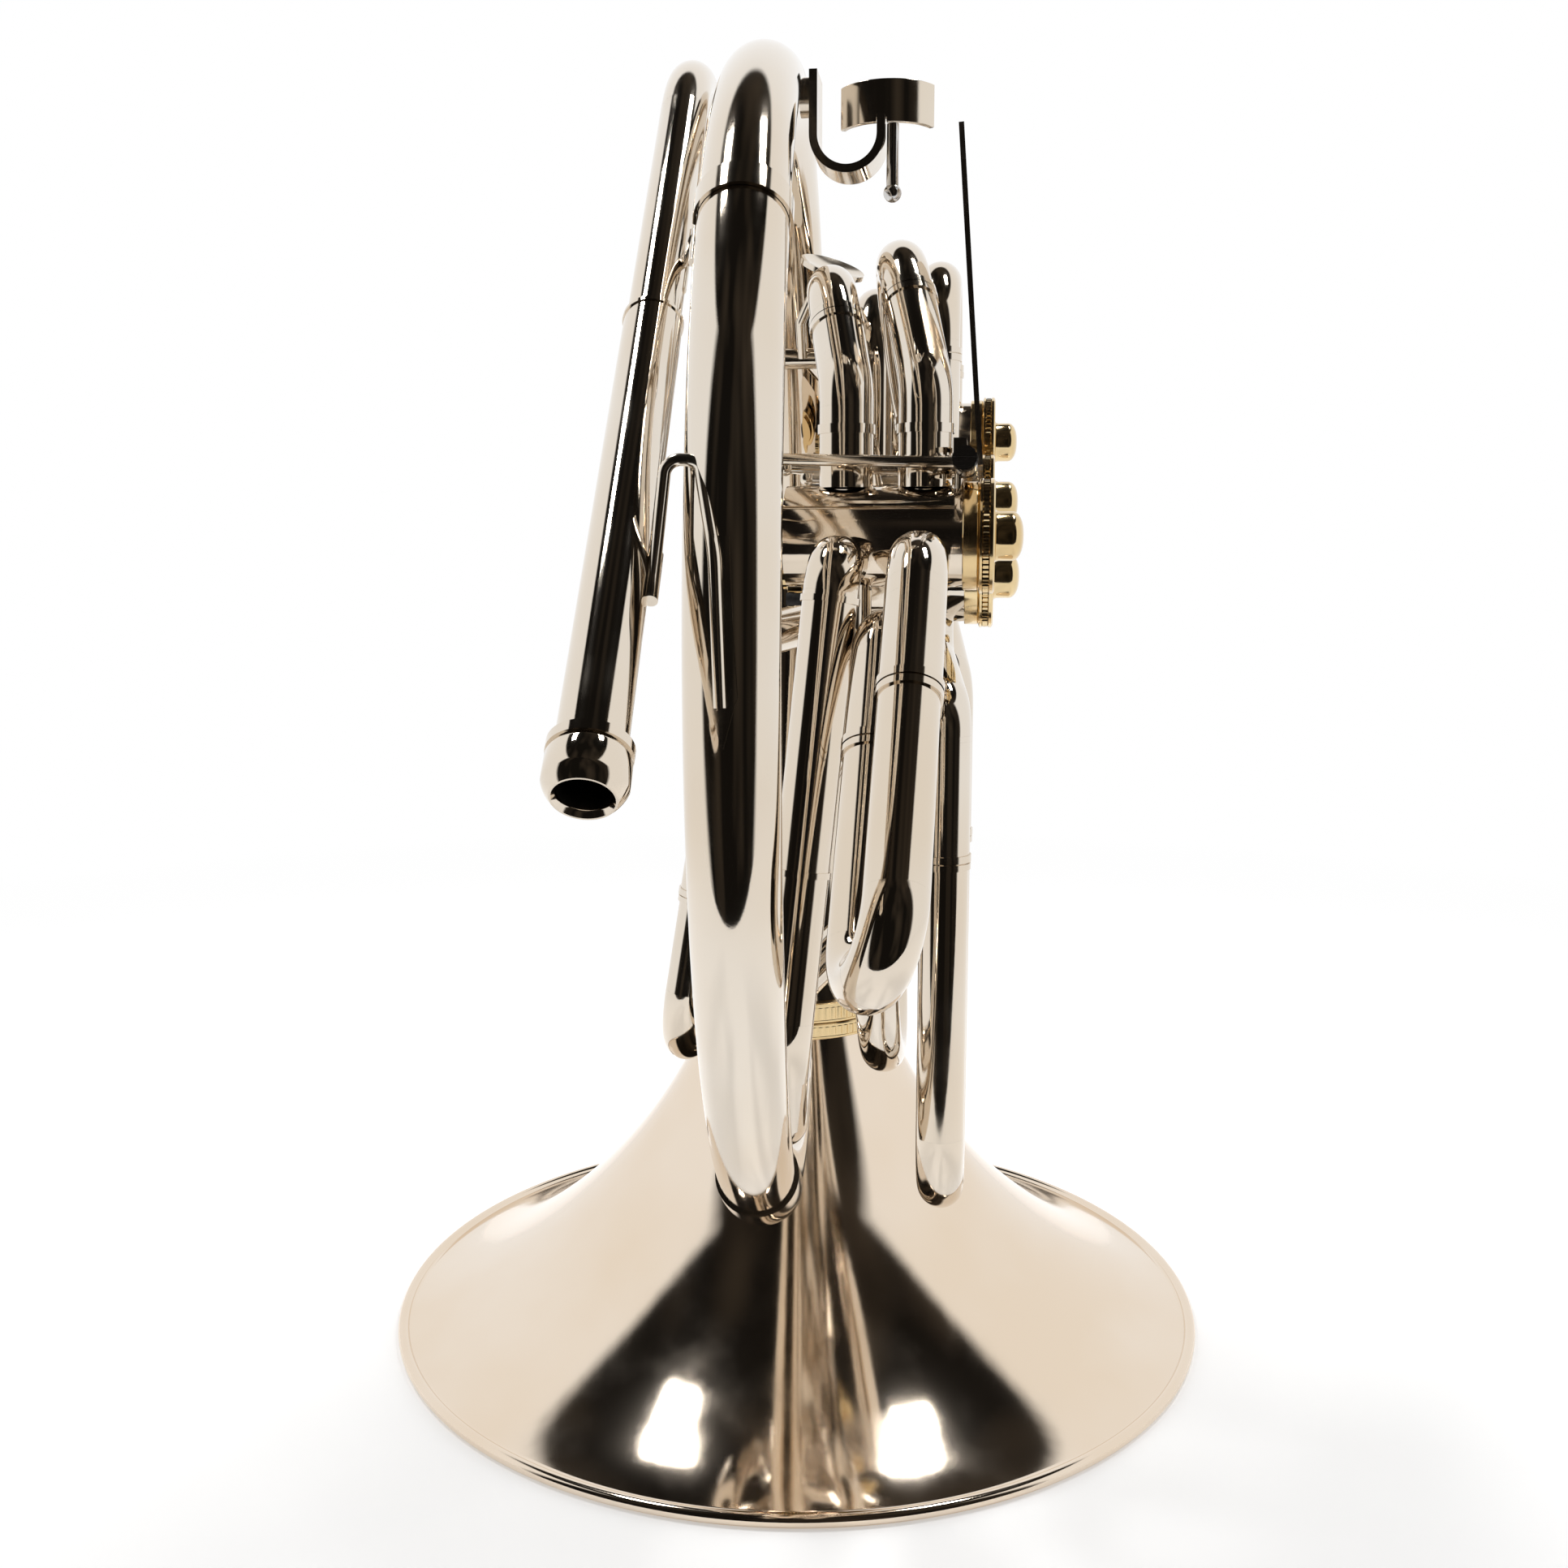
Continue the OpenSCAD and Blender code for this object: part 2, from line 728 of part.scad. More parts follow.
// Length of the front leg, past its corner, on each level.
us_reach = [22, 31];
function us_front(x) = [x, VALVE[0][0], us_front_z];
function us_back(x) = [x, VALVE[1][0], us_back_z];
function us_a(x, l) = us_front(x) + us_way * l;
function us_b(x, l) = let (d = (us_front(x) - us_back(x)) * us_way) us_back(x) + us_way * (l + d);
module upper_sleeves(x, l) {
    a = us_a(x, l);
    b = us_b(x, l);
    d = (us_front(x) - us_back(x)) * us_way;
    color(silver) {
        foot_1 = [x, VALVE[0][0], VALVE[0][1] + casing_r - 0.6];
        foot_2 = [x, VALVE[1][0], VALVE[1][1] + casing_r - 0.6];
        pipe([foot_1, us_front(x), us_front(x) + us_way * 8], [0, 15, 0], tube_r, bore_r);
        pipe([foot_2, us_back(x), us_back(x) + us_way * 6], [0, 12, 0], tube_r, bore_r);
        leg_sleeve(a, us_way, l - 8 - seam);
        leg_sleeve(b, us_way, l + d - 6 - seam);
        for (z = [VALVE[0][1] + casing_r + 5, us_front_z - 12])
            tube([x, VALVE[0][0], z], [x, VALVE[0][0], z + 2.4], tube_r + 0.5, tube_r + 0.02);
    }
}

module upper_slide(x, l) {
    a = us_a(x, l);
    b = us_b(x, l);
    color(silver) {
        bow(a, b, us_way, 3, tube_r - 0.2);
        for (p = [a, b])
            tube(p - us_way * (l - 16), p - us_way * seam, leg_r, bore_r);
        for (p = [a, b])
            tube(p + us_way * 0.05, p + us_way * 1.8, tube_r + 0.4, tube_r - 0.18);
    }
}

module upper_1_sleeves() { upper_sleeves(level_1_x, us_reach[0]); }
module upper_1_slide() { upper_slide(level_1_x, us_reach[0]); }
module upper_2_sleeves() { upper_sleeves(level_2_x, us_reach[1]); }
module upper_2_slide() { upper_slide(level_2_x, us_reach[1]); }

// ---- Upper slide and crook of the third and change valves ----

back_z = 354;
module back_sleeves() {
    color(silver)
        for (v = [2, 3]) {
            foot = VALVE[v][1] + casing_r - 0.6;
            leg_sleeve([level_2_x, VALVE[v][0], back_z], up, back_z - foot);
        }
}

module back_slide() {
    a = [level_2_x, VALVE[2][0], back_z];
    b = [level_2_x, VALVE[3][0], back_z];
    color(silver) {
        bow(a, b, up, 4, tube_r - 0.2);
        tube(a - up * 26, a - up * seam, leg_r, bore_r);
        tube(b - up * 9, b - up * seam, leg_r, bore_r);
        for (p = [a, b])
            tube(p + up * 0.05, p + up * 1.8, tube_r + 0.4, tube_r - 0.18);
    }
}

module back_crook() {
    half = (VALVE[3][0] - VALVE[2][0]) / 2;
    z = 350;
    color(silver)
        pipe([
            [level_1_x, VALVE[2][0], VALVE[2][1] + casing_r - 0.6], [level_1_x, VALVE[2][0], z + half],
            [level_1_x, VALVE[3][0], z + half], [level_1_x, VALVE[3][0], VALVE[3][1] + casing_r - 0.6]],
            [0, half - 0.02, half - 0.02, 0], tube_r - 0.2, bore_r);
}

// ---- Finger levers ----

hinge_x = 65;
hinge_z = 313.4;
hinge_r = 1.8;
hub_out_r = 3;
// First and last Y of each lever's hub.
LEVER = [[-193, -171], [-168, -146], [-143, -95]];
// Y of each lever's touch plate and of its cross arm.
touch_y = [-184, -160, -136];
arm_y = [-181, -149, -98];
arm_x = 14;
module hinge_rod() {
    color(steel) {
        rod([hinge_x, -196.2, hinge_z], [hinge_x, -91.8, hinge_z], hinge_r);
        // slotted screw head at the player's end
        difference() {
            rod([hinge_x, -199, hinge_z], [hinge_x, -196.2, hinge_z], hub_out_r);
            translate([hinge_x - 4, -199.2, hinge_z - 0.35])
                cube([8, 1, 0.7]);
        }
    }
}

// Posts between the hubs, tied by a rail and standing on the first and third casings.
rail_x = 62.2;
module hinge_posts() {
    post_y = [-194.6, -169.5, -144.5, -93.4];
    color(silver) {
        difference() {
            union() {
                for (y = post_y) {
                    rod([hinge_x, y - 1.2, hinge_z], [hinge_x, y + 1.2, hinge_z], 3.2);
                    translate([rail_x, y - 1.2, hinge_z])
                        cube([3.2, 2.4, 4.2]);
                }
                translate([rail_x, post_y[0] - 1.2, hinge_z + 3.6])
                    cube([3.2, post_y[3] - post_y[0] + 2.4, 1.4]);
            }
            rod([hinge_x, post_y[0] - 3, hinge_z], [hinge_x, post_y[3] + 3, hinge_z], hinge_r + 0.02);
        }
        // feet that reach down to the casings
        rod([rail_x + 0.9, post_y[1], VALVE[0][1] + 11.9], [rail_x + 0.9, post_y[1], hinge_z - 1.9], 1.1);
        foot_x = rail_x + 0.9;
        rod([foot_x, VALVE[2][0] - 12, VALVE[2][1] + 3.6], [foot_x, post_y[3] + 1.2, hinge_z - 0.6], 1.1);
    }
}

// Lever: hub on the rod, touch plate rising from it and an arm across the casings.
plate_t = 1.3;
module lever(i) {
    y0 = LEVER[i][0];
    y1 = LEVER[i][1];
    touch_w = 17;
    lean = 4.2;
    stem_h = 37.6;
    arm_way = unit([arm_x - hinge_x, 0, 1.4]);
    arm_end = [arm_x, arm_y[i], hinge_z + 1.4];
    color(silver) {
        difference() {
            rod([hinge_x, y0 + 0.2, hinge_z], [hinge_x, y1 - 0.2, hinge_z], hub_out_r);
            rod([hinge_x, y0 - 1, hinge_z], [hinge_x, y1 + 1, hinge_z], hinge_r + 0.04);
        }
        rod([hinge_x, arm_y[i], hinge_z] + arm_way * (hub_out_r + seam), arm_end, 1.5);
        // touch plate, soldered to the hub's outer side and leaning in towards its top
        translate([hinge_x + hub_out_r + 0.02, touch_y[i], hinge_z - 1])
            rotate([0, -lean, 0])
                difference() {
                    translate([0, -touch_w / 2, 0])
                        cube([plate_t, touch_w, 81.6]);
                    // narrow stem below the finger plate
                    for (s = [-1, 1])
                        translate([-1, s * (touch_w / 2 + 1) - 6, -1])
                            cube([4, 12, stem_h + 1]);
                    for (s = [-1, 1])
                        translate([-1, s * (touch_w / 2 + 4) - 4, 73.6])
                            rotate([s * 35, 0, 0])
                                cube([4, 8, 16]);
                }
        // ball near the arm's end, where the string is tied
        difference() {
            translate(arm_end - arm_way * 1.2)
                sphere(r = 2.4);
            rod(arm_end - arm_way * 6, arm_end + arm_way * 3, 1.51);
        }
    }
}

module lever_1() { lever(0); }
module lever_2() { lever(1); }
module lever_3() { lever(2); }

// ---- Thumb lever ----

thumb_y = -72;
thumb_z = 354;
thumb_x = [5, 17];
module thumb_rod() {
    color(steel) {
        rod([thumb_x[0] - 2, thumb_y, thumb_z], [thumb_x[1] + 1.6, thumb_y, thumb_z], 1.6);
        // forked post that stands on the third valve's casing
        difference() {
            union() {
                translate([thumb_x[1] + 1.2, thumb_y - 3, VALVE[2][1] + casing_r - 0.9])
                    cube([2.2, 6, thumb_z - VALVE[2][1] - casing_r + 0.9]);
                rod([thumb_x[1] + 1.2, thumb_y, thumb_z], [thumb_x[1] + 3.4, thumb_y, thumb_z], 3.4);
            }
            rod([thumb_x[1] - 1, thumb_y, thumb_z], [thumb_x[1] + 6, thumb_y, thumb_z], 1.61);
        }
    }
}

// Dished paddle on a curved arm, with a short arm to the change valve's string.
module thumb_lever() {
    x_mid = (thumb_x[0] + thumb_x[1]) / 2;
    paddle = [21.5, -92, 376];
    paddle_r = 10;
    dish_r = 34;
    color(silver) {
        difference() {
            rod([thumb_x[0], thumb_y, thumb_z], [thumb_x[1], thumb_y, thumb_z], 3.2);
            rod([thumb_x[0] - 1, thumb_y, thumb_z], [thumb_x[1] + 1, thumb_y, thumb_z], 1.64);
        }
        wire([[x_mid, thumb_y - 3.1, thumb_z], [x_mid, -80, 364], [x_mid + 7, -87, 376.6]], [0, 3, 0], 1.6);
        rod([x_mid, thumb_y + 3.1, thumb_z], [13, -43, 352], 1.6);
        // dished plate, tipped towards the thumb
        translate(paddle)
            rotate([20, 20, 0])
                difference() {
                    translate([0, 0, dish_r])
                        intersection() {
                            sphere(r = dish_r);
                            translate([0, 0, -dish_r])
                                cylinder(r = paddle_r, h = 6);
                        }
                    translate([0, 0, dish_r + 1.5])
                        sphere(r = dish_r);
                }
    }
}

// ---- Hand rests ----

// Hook for the little finger: a band bent to a U, on an oval boss on the coil.
hook_x = 35.4;
hook_y = -190;
hook_z = 391;
hook_w = 12;
hook_r = 9.2;
band_t = 2;
module finger_hook() {
    color(silver) {
        translate([23.6, hook_y + hook_w / 2, 401])
            rotate([0, 90, 0])
                cylinder(r = 4.6, h = 3);
        translate([0, hook_y + hook_w, 0])
            rotate([90, 0, 0])
                linear_extrude(height = hook_w) {
                    difference() {
                        translate([hook_x, hook_z])
                            circle(r = hook_r);
                        translate([hook_x, hook_z])
                            circle(r = hook_r - band_t);
                        translate([hook_x - 20, hook_z])
                            square([40, 20]);
                    }
                    translate([hook_x - hook_r, hook_z - 0.1])
                        square([band_t, 15]);
                    translate([hook_x + hook_r - band_t, hook_z - 0.1])
                        square([band_t, 4]);
                }
    }
}

// Curved plate that rests against the hand, held on the hook by a ball-headed screw.
saddle_r = 13;
saddle_z = 394;
saddle_h = 10;
saddle_c = [44.5, -174];
module hand_saddle() {
    color(silver)
        difference() {
            translate([saddle_c[0], saddle_c[1], saddle_z])
                rotate([0, 0, 208])
                    rotate_extrude(angle = 124)
                        translate([saddle_r - 1.4, 0])
                            square([1.4, saddle_h]);
            translate([hook_x + hook_r - band_t - 0.3, hook_y - 1, saddle_z - 1])
                cube([band_t + 0.4, hook_w + 2, 1.9]);
        }
}

module saddle_screw() {
    x = hook_x + hook_r + 0.02;
    color(steel) {
        rod([x + 1.6, hook_y + 5, hook_z - 12], [x + 1.6, hook_y + 5, hook_z + 2.9], 1.5);
        translate([x + 1.6, hook_y + 5, hook_z - 13.2])
            sphere(r = 2.2);
    }
}

// Braces that tie the valve section to the coil and the bell's tail.
module body_braces() {
    color(silver) {
        // change valve to the bell's tail
        z = VALVE[3][1] - 8.5;
        rod([casing_x + 0.1, VALVE[3][0] + 8, z], [9, VALVE[3][0] + 14, z], 1.6);
        // main crook to the branch
        rod([21.8, -216, 172], coil_point(232, coil_r - branch_r + 0.2), 1.8);
        // leadpipe to the third valve
        on_valve = [casing_x + 0.1, VALVE[2][0] - 6.4, VALVE[2][1] + 9.5];
        rod([-7.1, tuning_y[1], 322], on_valve, 1.8);
    }
}

bell_flare();
bell_rim_wire();
bell_screw_ring();
tail_screw_ring();
bell_tail();
main_branch();
branch_ferrules();
lower_branch();
leadpipe();
leadpipe_sleeve();
mouthpiece_receiver();
leadpipe_brace();
hairpin_brace();
tuning_sleeves();
tuning_slide();
main_crook();
crook_ferrules();
casing_1();
casing_2();
casing_3();
casing_4();
rotor_1();
rotor_2();
rotor_3();
rotor_4();
stop_arm_1();
stop_arm_2();
stop_arm_3();
stop_arm_4();
bearing_plates();
valve_caps();
bumpers();
knuckles();
front_slide_sleeves();
front_slide();
long_slide_sleeves();
long_slide();
small_slide_sleeves();
small_slide();
upper_1_sleeves();
upper_1_slide();
upper_2_sleeves();
upper_2_slide();
back_sleeves();
back_slide();
back_crook();
hinge_rod();
hinge_posts();
lever_1();
lever_2();
lever_3();
thumb_rod();
thumb_lever();
finger_hook();
hand_saddle();
saddle_screw();
body_braces();
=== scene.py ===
import json
import math

import bmesh
import bpy
from mathutils import Matrix, Vector


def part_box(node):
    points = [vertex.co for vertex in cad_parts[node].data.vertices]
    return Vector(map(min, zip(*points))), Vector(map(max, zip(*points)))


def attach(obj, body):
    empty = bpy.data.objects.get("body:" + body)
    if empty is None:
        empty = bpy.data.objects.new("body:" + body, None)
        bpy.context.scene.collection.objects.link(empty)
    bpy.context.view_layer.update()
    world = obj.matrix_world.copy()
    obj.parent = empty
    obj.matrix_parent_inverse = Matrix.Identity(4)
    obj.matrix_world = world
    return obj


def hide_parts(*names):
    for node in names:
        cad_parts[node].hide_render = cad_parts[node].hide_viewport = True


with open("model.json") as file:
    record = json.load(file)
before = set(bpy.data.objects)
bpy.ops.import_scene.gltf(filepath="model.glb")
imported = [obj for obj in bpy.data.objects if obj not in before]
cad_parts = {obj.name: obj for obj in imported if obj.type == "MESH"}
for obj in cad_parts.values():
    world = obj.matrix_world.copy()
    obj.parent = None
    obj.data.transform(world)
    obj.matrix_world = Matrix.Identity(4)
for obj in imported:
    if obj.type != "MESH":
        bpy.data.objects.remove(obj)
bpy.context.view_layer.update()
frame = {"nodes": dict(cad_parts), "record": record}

MM = 0.001
body_of_node = {}
for body_name, members in frame["record"]["behaviour"]["bodies"].items():
    for member in members:
        body_of_node[member] = body_name


# ---- Finishes ----
# The horn is lacquered nickel silver with yellow brass caps, rings and valve rotors.
# Each finish has soft changes of tint, fine polishing lines and a few duller patches.

def new_material(name):
    material = bpy.data.materials.new(name)
    material.use_nodes = True
    nodes = material.node_tree.nodes
    return material, nodes, material.node_tree.links, nodes["Principled BSDF"]


def noise(nodes, links, coords, scale, detail):
    texture = nodes.new("ShaderNodeTexNoise")
    texture.inputs["Scale"].default_value = scale
    texture.inputs["Detail"].default_value = detail
    links.new(coords, texture.inputs["Vector"])
    return texture.outputs["Fac"]


def spread(nodes, links, value, low, high, from_low=0.35, from_high=0.65):
    remap = nodes.new("ShaderNodeMapRange")
    remap.inputs["From Min"].default_value = from_low
    remap.inputs["From Max"].default_value = from_high
    remap.inputs["To Min"].default_value = low
    remap.inputs["To Max"].default_value = high
    links.new(value, remap.inputs["Value"])
    return remap.outputs["Result"]


def polished(name, tint, warm_tint, roughness, dull, grain, lines=(1, 1, 1)):
    tint_scale = 14
    patch_scale = 42
    line_scale = 2600
    wave_scale = 60
    material, nodes, links, shader = new_material(name)
    coords = nodes.new("ShaderNodeTexCoord").outputs["Object"]
    stretch = nodes.new("ShaderNodeMapping")
    stretch.inputs["Scale"].default_value = lines
    links.new(coords, stretch.inputs["Vector"])
    mix = nodes.new("ShaderNodeMix")
    mix.data_type = "RGBA"
    mix.inputs["A"].default_value = (*tint, 1)
    mix.inputs["B"].default_value = (*warm_tint, 1)
    broad = noise(nodes, links, coords, tint_scale, 3)
    links.new(spread(nodes, links, broad, 0, 1), mix.inputs["Factor"])
    links.new(mix.outputs["Result"], shader.inputs["Base Color"])
    patches = noise(nodes, links, coords, patch_scale, 6)
    links.new(spread(nodes, links, patches, roughness, dull, 0.45, 0.75), shader.inputs["Roughness"])
    polish_lines = noise(nodes, links, stretch.outputs["Vector"], line_scale, 2)
    ripple = noise(nodes, links, coords, wave_scale, 2)
    lines_bump = nodes.new("ShaderNodeBump")
    lines_bump.inputs["Strength"].default_value = grain
    lines_bump.inputs["Distance"].default_value = 0.00002
    links.new(polish_lines, lines_bump.inputs["Height"])
    waves = nodes.new("ShaderNodeBump")
    waves.inputs["Strength"].default_value = 0.05
    waves.inputs["Distance"].default_value = 0.0006
    links.new(ripple, waves.inputs["Height"])
    links.new(lines_bump.outputs["Normal"], waves.inputs["Normal"])
    links.new(waves.outputs["Normal"], shader.inputs["Normal"])
    shader.inputs["Metallic"].default_value = 1
    shader.inputs["Base Color"].default_value = (*tint, 1)
    shader.inputs["Roughness"].default_value = roughness
    shader.inputs["Coat Weight"].default_value = 0.15
    shader.inputs["Coat Roughness"].default_value = 0.04
    return material


nickel = polished("nickel_silver_tube", (0.75, 0.68, 0.59), (0.71, 0.61, 0.49), 0.05, 0.12, 0.10)
bell_nickel = polished(
    "nickel_silver_bell", (0.81, 0.70, 0.58), (0.78, 0.65, 0.51), 0.07, 0.12, 0.08, (1, 1, 6))
worn_nickel = polished("nickel_silver_handled", (0.76, 0.69, 0.60), (0.70, 0.61, 0.49), 0.10, 0.26, 0.22)
gold = polished("yellow_brass", (0.80, 0.63, 0.36), (0.66, 0.48, 0.24), 0.09, 0.22, 0.18)
steel = polished("bright_steel", (0.62, 0.61, 0.60), (0.55, 0.53, 0.51), 0.14, 0.30, 0.20)

# Painted shade: a near-black metal for the inside of the bore, standing in for the shade deep in the pipe.
painted_bore_shade = polished(
    "painted_shade_bore", (0.020, 0.018, 0.016), (0.035, 0.028, 0.020), 0.35, 0.6, 0.2)

rubber, rubber_nodes, rubber_links, rubber_shader = new_material("bumper_rubber")
rubber_coords = rubber_nodes.new("ShaderNodeTexCoord").outputs["Object"]
rubber_grain = noise(rubber_nodes, rubber_links, rubber_coords, 900, 4)
rubber_dullness = spread(rubber_nodes, rubber_links, rubber_grain, 0.62, 0.85)
rubber_links.new(rubber_dullness, rubber_shader.inputs["Roughness"])
rubber_bump = rubber_nodes.new("ShaderNodeBump")
rubber_bump.inputs["Distance"].default_value = 0.00005
rubber_links.new(rubber_grain, rubber_bump.inputs["Height"])
rubber_links.new(rubber_bump.outputs["Normal"], rubber_shader.inputs["Normal"])
rubber_shader.inputs["Base Color"].default_value = (0.02, 0.02, 0.022, 1)
rubber_shader.inputs["Roughness"].default_value = 0.7


# ---- Bell ----
# The flare is one sheet of nickel silver with its edge rolled over a steel wire.
# It screws to the tail, so it is a body of revolution made by spinning its section.

def add_piece(name, bm, material, body, slot, *nodes):
    mesh = bpy.data.meshes.new(name)
    bm.to_mesh(mesh)
    bm.free()
    piece = bpy.data.objects.new(name, mesh)
    bpy.context.scene.collection.objects.link(piece)
    mesh.materials.append(material)
    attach(piece, body)
    if nodes:
        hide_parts(*nodes)
    return piece


def spin_profile(points, steps):
    bm = bmesh.new()
    verts = [bm.verts.new((r, 0, z)) for r, z in points]
    edges = [bm.edges.new((a, b)) for a, b in zip(verts, verts[1:] + verts[:1])]
    bmesh.ops.spin(
        bm, geom=verts + edges, cent=(0, 0, 0), axis=(0, 0, 1), angle=math.tau, steps=steps, use_merge=True)
    bmesh.ops.recalc_face_normals(bm, faces=bm.faces)
    return bm


def smooth(bm, degrees):
    limit = math.radians(degrees)
    for face in bm.faces:
        face.smooth = True
    for edge in bm.edges:
        edge.smooth = len(edge.link_faces) == 2 and edge.calc_face_angle(0) < limit


def edges_of(verts):
    return list(dict.fromkeys(edge for vert in verts for edge in vert.link_edges))


def bezier(points, t):
    weights = ((1 - t) ** 3, 3 * t * (1 - t) ** 2, 3 * t * t * (1 - t), t ** 3)
    return tuple(sum(w * p[k] for w, p in zip(weights, points)) for k in (0, 1))


mouth_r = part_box("bell_flare")[1].x
ring_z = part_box("bell_flare")[1].z
bead_r = 2.2 * MM
bead_x = mouth_r - bead_r
bead_z = bead_r - 0.12 * MM
throat_r = 33 * MM
flare_shape = ((bead_x, bead_r), (112 * MM, 12 * MM), (52 * MM, 62 * MM), (throat_r, ring_z))
flare_steps = 110
sheet_in = 0.55 * MM
sheet_down = 0.6 * MM
bead_reach = bead_r * 1.02
section = []
for i in range(flare_steps, 0, -1):
    r, z = bezier(flare_shape, i / flare_steps)
    if math.hypot(r - bead_x, z - bead_z) > bead_reach:
        section.append((r, z))
for degrees in range(160, -151, -10):
    a = math.radians(degrees)
    section.append((bead_x + bead_r * math.cos(a), max(0, bead_z + bead_r * math.sin(a))))
for i in range(1, flare_steps + 1):
    r, z = bezier(flare_shape, i / flare_steps)
    inner = (r - sheet_in, z - sheet_down)
    if math.hypot(inner[0] - bead_x, inner[1] - bead_z) > bead_reach:
        section.append(inner)
flare = spin_profile(section, 224)
smooth(flare, 50)
add_piece("bell_flare_sheet", flare, bell_nickel, "body", "nickel_silver", "bell_flare", "bell_rim_wire")


# ---- Bell rings ----
# Two yellow brass rings screw together where the bell comes off: each is turned, with
# small steps and a knurled band that the fingers grip.

def knurled_band(bm, radius, low, high, teeth, depth):
    start = Matrix.Translation((0, 0, low))
    rim = bmesh.ops.create_circle(bm, segments=teeth * 4, radius=radius, matrix=start)["verts"]
    for i, vert in enumerate(rim):
        if i % 4 in (1, 2):
            grow = 1 + depth / radius
            vert.co.x *= grow
            vert.co.y *= grow
    raised = bmesh.ops.extrude_edge_only(bm, edges=edges_of(rim))["geom"]
    top = [part for part in raised if isinstance(part, bmesh.types.BMVert)]
    bmesh.ops.translate(bm, verts=top, vec=(0, 0, high - low))
    walls = [part for part in raised if isinstance(part, bmesh.types.BMFace)]
    for wall in walls:
        wall.normal_update()
        middle = wall.calc_center_median()
        if wall.normal.x * middle.x + wall.normal.y * middle.y < 0:
            wall.normal_flip()


def turned_ring(low, high, r_in, r_out, knurl_low, knurl_high):
    teeth = 90
    chamfer = 0.4 * MM
    groove = 0.35 * MM
    points = [
        (r_in, low), (r_out - chamfer, low), (r_out, low + chamfer),
        (r_out, knurl_low - groove), (r_out - groove, knurl_low - groove),
        (r_out - groove, knurl_high + groove), (r_out, knurl_high + groove),
        (r_out, high - chamfer), (r_out - chamfer, high), (r_in, high)]
    bm = spin_profile(points, 128)
    smooth(bm, 30)
    knurled_band(bm, r_out - groove * 0.8, knurl_low, knurl_high, teeth, groove)
    return bm


lower_ring = turned_ring(
    ring_z - 5.6 * MM, ring_z + 0.1 * MM, 33.4 * MM, 36.4 * MM, ring_z - 4.4 * MM, ring_z - 1.2 * MM)
add_piece("bell_ring_turned", lower_ring, gold, "body", "yellow_brass", "bell_screw_ring")
upper_ring = turned_ring(
    ring_z + 0.2 * MM, ring_z + 7.8 * MM, 33.1 * MM, 36.0 * MM, ring_z + 1.6 * MM, ring_z + 6 * MM)
add_piece("tail_ring_turned", upper_ring, gold, "body", "yellow_brass", "tail_screw_ring")


# ---- Bell tail ----
# The tail is a tapering tube of nickel silver, bent by hand around the coil.
# It runs straight up from the ring, then follows the coil's circle and narrows all the way.

coil_turn = math.radians(4.63)
coil_r = 146 * MM
coil_z = 264 * MM
branch_r = 9.4 * MM
narrowing = 150 * MM
tail_wall = 0.7 * MM
tail_start = ring_z + 0.3 * MM
tail_straight = coil_z - tail_start
tail_end = math.radians(140)
tail_len = tail_straight + coil_r * tail_end


def tail_radius(s):
    return branch_r + (throat_r - branch_r) * math.exp(-s / narrowing) * (1 - s / tail_len)


def coil_point(a, r=coil_r):
    y = -coil_r + r * math.cos(a)
    return Vector((-y * math.sin(coil_turn), y * math.cos(coil_turn), coil_z + r * math.sin(a)))


def tail_frame(s):
    inward = Vector((math.sin(coil_turn), -math.cos(coil_turn), 0))
    if s <= tail_straight:
        return Vector((0, 0, tail_start + s)), inward
    a = (s - tail_straight) / coil_r
    return coil_point(a), (coil_point(a, coil_r - MM) - coil_point(a)).normalized()


across = Vector((math.cos(coil_turn), math.sin(coil_turn), 0))
tail = bmesh.new()
stations = 150
sides = 72
skins = []
for wall in (0, tail_wall):
    loops = []
    for k in range(stations + 1):
        s = tail_len * k / stations
        centre, inward = tail_frame(s)
        along = inward.cross(across)
        turn = Matrix((inward, across, along)).transposed().to_4x4()
        made = bmesh.ops.create_circle(
            tail, segments=sides, radius=tail_radius(s) - wall, matrix=Matrix.Translation(centre) @ turn)
        loops.append(edges_of(made["verts"]))
    for a, b in zip(loops, loops[1:]):
        bmesh.ops.bridge_loops(tail, edges=a + b)
    skins.append(loops)
for end in (0, -1):
    bmesh.ops.bridge_loops(tail, edges=skins[0][end] + skins[1][end])
bmesh.ops.recalc_face_normals(tail, faces=tail.faces)
smooth(tail, 50)
add_piece("bell_tail_tube", tail, nickel, "body", "nickel_silver", "bell_tail")


# ---- Fixed tubing ----
# Drawn nickel silver tubes, bent and soldered: branch, leadpipe, crooks and slide sleeves.
# Each keeps the shape of its plain part, welded into one skin and shaded smoothly.

def fine(node, material, slot, degrees=35, edge=0.0):
    bm = bmesh.new()
    bm.from_mesh(frame["nodes"][node].data)
    bmesh.ops.remove_doubles(bm, verts=bm.verts, dist=0.000002)
    smooth(bm, degrees)
    piece = add_piece(node + "_fine", bm, material, body_of_node[node], slot, node)
    if edge:
        bevel = piece.modifiers.new("edge", "BEVEL")
        bevel.width = edge
        bevel.segments = 2
        bevel.limit_method = "ANGLE"
        bevel.angle_limit = math.radians(50)
        bevel.harden_normals = True
    return piece


for node in (
        "main_branch", "branch_ferrules", "lower_branch", "leadpipe", "leadpipe_sleeve",
        "mouthpiece_receiver", "tuning_sleeves", "main_crook", "crook_ferrules", "knuckles",
        "front_slide_sleeves", "long_slide_sleeves", "small_slide_sleeves", "upper_1_sleeves",
        "upper_2_sleeves", "back_sleeves", "back_crook"):
    fine(node, nickel, "nickel_silver")
